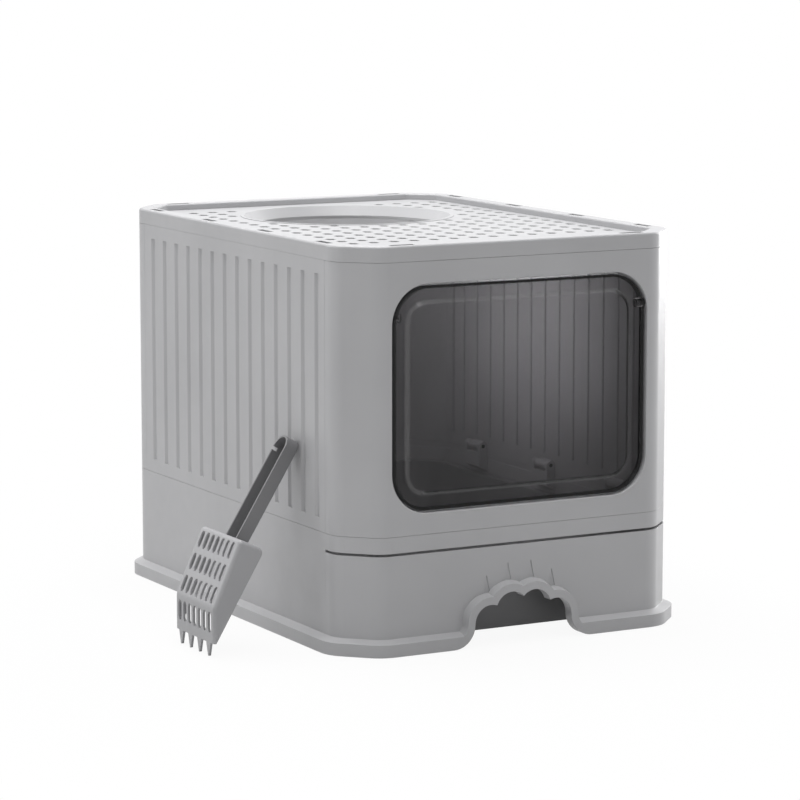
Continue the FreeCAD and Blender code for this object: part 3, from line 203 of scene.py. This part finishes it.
# %% [markdown]
# ## Smoked sheet
#
# The flap lets light straight through with a grey tint and mirrors the studio at a slant. A glass shader
# would bend the light and turn a thin sheet grainy, so a Transparent and a Glossy shader are mixed by
# Fresnel instead.

# %% The tinted, mirroring sheet
BEAD_START = 0.0333
BEAD_BLUR = 0.0004
# The bead's tint stands partly for its thick plastic and is partly painted shade of the gap round the flap.
BEAD_AND_GAP_SHADE_TINT = (0.1, 0.1, 0.1, 1)
TINT_CLOUDS = 7
SHEEN_CLOUDS = 40
SHEET_IOR = 1.3


def tinted_sheet(tree, outwards, dark, light, gloss):
    """Clear sheet in two close tints, with a nearly black bead that also paints the shade of the gap round the
    flap, and a mirror at a slant.
    """
    tint = tree.nodes.new("ShaderNodeMix")
    tint.data_type = "RGBA"
    tint.inputs[TONE_B].default_value = BEAD_AND_GAP_SHADE_TINT
    tree.links.new(beyond(tree, outwards, BEAD_START, BEAD_BLUR), tint.inputs[FACTOR])
    tree.links.new(two_tones(tree, noise(tree, TINT_CLOUDS), dark, light), tint.inputs[TONE_A])
    clear = tree.nodes.new("ShaderNodeBsdfTransparent")
    tree.links.new(tint.outputs[TONE_OUT], clear.inputs["Color"])
    mirror = tree.nodes.new("ShaderNodeBsdfGlossy")
    mirror.inputs["Color"].default_value = (0.9, 0.9, 0.9, 1)
    tree.links.new(spread(tree, noise(tree, SHEEN_CLOUDS, 3), *gloss), mirror.inputs["Roughness"])
    slant = tree.nodes.new("ShaderNodeFresnel")
    slant.inputs["IOR"].default_value = SHEET_IOR
    sheet = tree.nodes.new("ShaderNodeMixShader")
    tree.links.new(slant.outputs["Fac"], sheet.inputs[0])
    tree.links.new(clear.outputs[0], sheet.inputs[1])
    tree.links.new(mirror.outputs[0], sheet.inputs[2])
    return sheet.outputs[0]


# %% [markdown]
# ## Painted highlight on the step
#
# A thin share of white-grey Diffuse on the step round the raised pane catches the lamps and paints the
# highlight of the step's rounded edge. Two rising edges, one taken from the other, leave the narrow band for
# it.

# %% The painted step highlight and the whole flap
STEP_START = 0.0190
STEP_END = 0.0226
STEP_BLUR = 0.0006
# A small share of grey Diffuse on the step paints the highlight of its rounded edge.
STEP_HIGHLIGHT_SHARE = 0.12


def math_step(tree, operation):
    node = tree.nodes.new("ShaderNodeMath")
    node.operation = operation
    return node


def smoked(name, dark, light, gloss):
    """The flap's finish: a tinted sheet with a dark bead that also paints the gap's shade, and a diffuse band
    that paints the step's highlight.
    """
    material, tree, shader = new_material(name)
    tree.nodes.remove(shader)
    outwards = across_flap(tree)
    band = math_step(tree, "SUBTRACT")
    tree.links.new(beyond(tree, outwards, STEP_START, STEP_BLUR), band.inputs[0])
    tree.links.new(beyond(tree, outwards, STEP_END, STEP_BLUR), band.inputs[1])
    highlight_share = math_step(tree, "MULTIPLY")
    highlight_share.inputs[1].default_value = STEP_HIGHLIGHT_SHARE
    tree.links.new(band.outputs[0], highlight_share.inputs[0])
    # Grey Diffuse that paints the step's highlight.
    step_highlight = tree.nodes.new("ShaderNodeBsdfDiffuse")
    step_highlight.inputs["Color"].default_value = (0.5, 0.5, 0.5, 1)
    mix = tree.nodes.new("ShaderNodeMixShader")
    tree.links.new(highlight_share.outputs[0], mix.inputs[0])
    tree.links.new(tinted_sheet(tree, outwards, dark, light, gloss), mix.inputs[1])
    tree.links.new(step_highlight.outputs[0], mix.inputs[2])
    tree.links.new(mix.outputs[0], tree.nodes["Material Output"].inputs["Surface"])
    return material


flap_plastic = smoked("flap_plastic", (0.60, 0.59, 0.60), (0.64, 0.63, 0.64), (0.03, 0.06))
print("made", flap_plastic.name)

# %% [markdown]
# ## Dressing the pieces
#
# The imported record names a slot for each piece, so a piece takes its finish from there and not from a list of
# names. Only the deck differs from its slot, because of its softer edges.

# %% Give each piece its plastic
finish = {
    "shell": shell,
    "tray": tray_plastic,
    "scoop": scoop_plastic,
    "handle": handle_plastic,
    "pins": pin_plastic,
    "flap": flap_plastic,
}
for part in frame["record"]["subparts"]:
    mesh = nodes[part["node"]].data
    mesh.materials.clear()
    mesh.materials.append(finish[part["material_slot"]])
nodes["lid_deck"].data.materials[0] = deck_plastic

# %% [markdown]
# ## White all round
#
# A studio sheet looks white in a picture, but a sheet lit until it is white would flood the box with light.
# Light Path tells what a ray is for: rays from the lens, mirrors and clear plastic see white, and all other
# light meets a plainer surface.

# %% White for the eye only
def seen_white(tree, plain, white, share=None):
    """Mixes a plain shader with a white one, wholly or by a share, for rays that show a picture."""
    path = tree.nodes.new("ShaderNodeLightPath")
    seen = path.outputs["Is Camera Ray"]
    for ray in ("Is Glossy Ray", "Is Transmission Ray"):
        either = math_step(tree, "MAXIMUM")
        tree.links.new(seen, either.inputs[0])
        tree.links.new(path.outputs[ray], either.inputs[1])
        seen = either.outputs[0]
    if share is not None:
        part_seen = math_step(tree, "MULTIPLY")
        tree.links.new(seen, part_seen.inputs[0])
        tree.links.new(share, part_seen.inputs[1])
        seen = part_seen.outputs[0]
    white.inputs["Color"].default_value = (1, 1, 1, 1)
    mix = tree.nodes.new("ShaderNodeMixShader")
    tree.links.new(seen, mix.inputs[0])
    tree.links.new(plain.outputs[0], mix.inputs[1])
    tree.links.new(white.outputs[0], mix.inputs[2])
    return mix.outputs[0]


# %% [markdown]
# ## Floor
#
# The box stands on a plain sheet that reaches past the edge of the picture. It lies a hair below the foot
# flange, so the two faces don't flicker. Close to the box a small part of the lit sheet shows, which keeps
# the shadow, and farther out it is all white.

# %% The sheet
FLOOR_REACH = 40
FLOOR_LEVEL = -0.0005
SIDES = ((-1, -1), (1, -1), (1, 1), (-1, 1))

floor_mesh = bpy.data.meshes.new("floor")
outline = bmesh.new()
corners = [outline.verts.new((x * FLOOR_REACH, y * FLOOR_REACH, FLOOR_LEVEL)) for x, y in SIDES]
outline.faces.new(corners)
outline.to_mesh(floor_mesh)
outline.free()
floor = bpy.data.objects.new("floor", floor_mesh)
scene.collection.objects.link(floor)

# %% The sheet's white
SHADOW_NEAR = 0.3
SHADOW_FAR = 0.8
WHITE_NEAR = 0.93

floor_material, tree, shader = new_material("white_sheet")
shader.inputs["Base Color"].default_value = (0.6, 0.6, 0.6, 1)
shader.inputs["Roughness"].default_value = 0.9
shader.inputs["Specular IOR Level"].default_value = 0.1
coords = tree.nodes.new("ShaderNodeTexCoord")
distance = tree.nodes.new("ShaderNodeVectorMath")
distance.operation = "LENGTH"
tree.links.new(coords.outputs["Object"], distance.inputs[0])
share = tree.nodes.new("ShaderNodeMapRange")
share.inputs["From Min"].default_value = SHADOW_NEAR
share.inputs["From Max"].default_value = SHADOW_FAR
share.inputs["To Min"].default_value = WHITE_NEAR
share.inputs["To Max"].default_value = 1
tree.links.new(distance.outputs["Value"], share.inputs["Value"])
white = tree.nodes.new("ShaderNodeEmission")
surface = seen_white(tree, shader, white, share.outputs["Result"])
tree.links.new(surface, tree.nodes["Material Output"].inputs["Surface"])
floor_mesh.materials.append(floor_material)
print("floor reaches", FLOOR_REACH, "m to each side")

# %% [markdown]
# ## Air
#
# The air gives about a third of the light, from all round, so no face goes black. The Standard view shows a
# colour about as it is written.

# %% The studio's air
AIR_STRENGTH = 0.34

world = bpy.data.worlds.new("studio_air")
scene.world = world
world.use_nodes = True
tree = world.node_tree
air = tree.nodes["Background"]
air.inputs["Color"].default_value = (1, 1, 1, 1)
air.inputs["Strength"].default_value = AIR_STRENGTH
white = tree.nodes.new("ShaderNodeBackground")
surface = seen_white(tree, air, white)
tree.links.new(surface, tree.nodes["World Output"].inputs["Surface"])
scene.view_settings.view_transform = "Standard"

# %% [markdown]
# ## Lamps
#
# Wide, soft lamps shape the box. Two overhead make the deck the brightest face, two on the left keep the
# ribbed side lighter than the front, and three gentle ones on the right draw the bright right edge.

# %% Lamps round the box
def area_lamp(name, place, aim, size, power, beam=180):
    """Flat lamp with a size in metres, a power in watts and a beam in degrees."""
    data = bpy.data.lights.new(name, "AREA")
    data.shape = "RECTANGLE"
    data.size, data.size_y = size
    data.energy = power
    data.spread = math.radians(beam)
    lamp = bpy.data.objects.new(name, data)
    lamp.location = place
    lamp.rotation_euler = (Vector(aim) - Vector(place)).to_track_quat("-Z", "Y").to_euler()
    scene.collection.objects.link(lamp)
    return lamp


area_lamp("over_front", (-0.3, -0.8, 2.6), (0, 0, 0.3), (1.6, 1.6), 38)
area_lamp("over_rear", (-0.2, 0.7, 2.6), (0, 0, 0.3), (1.6, 1.6), 54)
area_lamp("left", (-2.6, 0.2, 0.8), (-0.1, 0, 0.2), (0.9, 0.7), 6)
area_lamp("left_rear", (-2.2, 1.8, 1.2), (-0.1, 0, 0.2), (0.9, 0.9), 12)
area_lamp("right_edge", (2.4, -0.1, 0.9), (0.18, -0.24, 0.2), (0.8, 0.8), 22)
area_lamp("right_low", (2.7, 1.1, 0.4), (0.18, -0.2, 0.2), (0.8, 0.7), 27)
area_lamp("right_rear", (2.2, 1.4, 1.6), (0.1, 0, 0.3), (1.0, 1.0), 7)

# %% [markdown]
# ## Cabin lamps
#
# The far walls show through the flap and the top opening, but little of the studio's light gets in. Three
# small lamps with narrow beams stand inside. They are hidden from the lens and from mirrors, so only their
# light is seen. They stay where they are when the lid lifts or a panel folds.

# %% Lamps in the cabin
CABIN_BEAM = 60

cabin_lamps = [
    area_lamp("cabin_rear", (-0.14, 0.07, 0.27), (0.17, 0.1, 0.28), (0.20, 0.12), 0.075, CABIN_BEAM),
    area_lamp("cabin_front", (-0.12, -0.17, 0.27), (0.172, 0.0, 0.28), (0.10, 0.12), 0.095, CABIN_BEAM),
    area_lamp("cabin_top", (0.05, 0.17, 0.335), (0.05, 0.25, 0.355), (0.26, 0.01), 0.027, CABIN_BEAM),
]
for lamp in cabin_lamps:
    lamp.visible_camera = False
    lamp.visible_glossy = False
print("lit by", len(bpy.data.lights), "lamps")

# %% [markdown]
# ## Camera
#
# A long lens stands far off to the left of the front, a little above the lid, so upright edges stay nearly
# parallel, as in a catalogue picture.

# %% Camera
LENS_MM = 151.2
SENSOR_MM = 36
LENS_PLACE = (-1.5829, -2.9366, 0.6894)
LENS_AIM = Vector((0.00486, -0.00263, 0.19726))

camera_data = bpy.data.cameras.new("camera")
camera_data.lens = LENS_MM
camera_data.sensor_width = SENSOR_MM
camera = bpy.data.objects.new("camera", camera_data)
camera.location = LENS_PLACE
camera.rotation_euler = (LENS_AIM - camera.location).to_track_quat("-Z", "Y").to_euler()
scene.collection.objects.link(camera)
scene.camera = camera

# %% [markdown]
# ## Size
#
# The dressing leaves the imported model's size as it is. plain turns the corners of a box into plain lists of
# numbers.

# %% Corners as plain lists
def plain(box):
    return [list(corner) for corner in box]
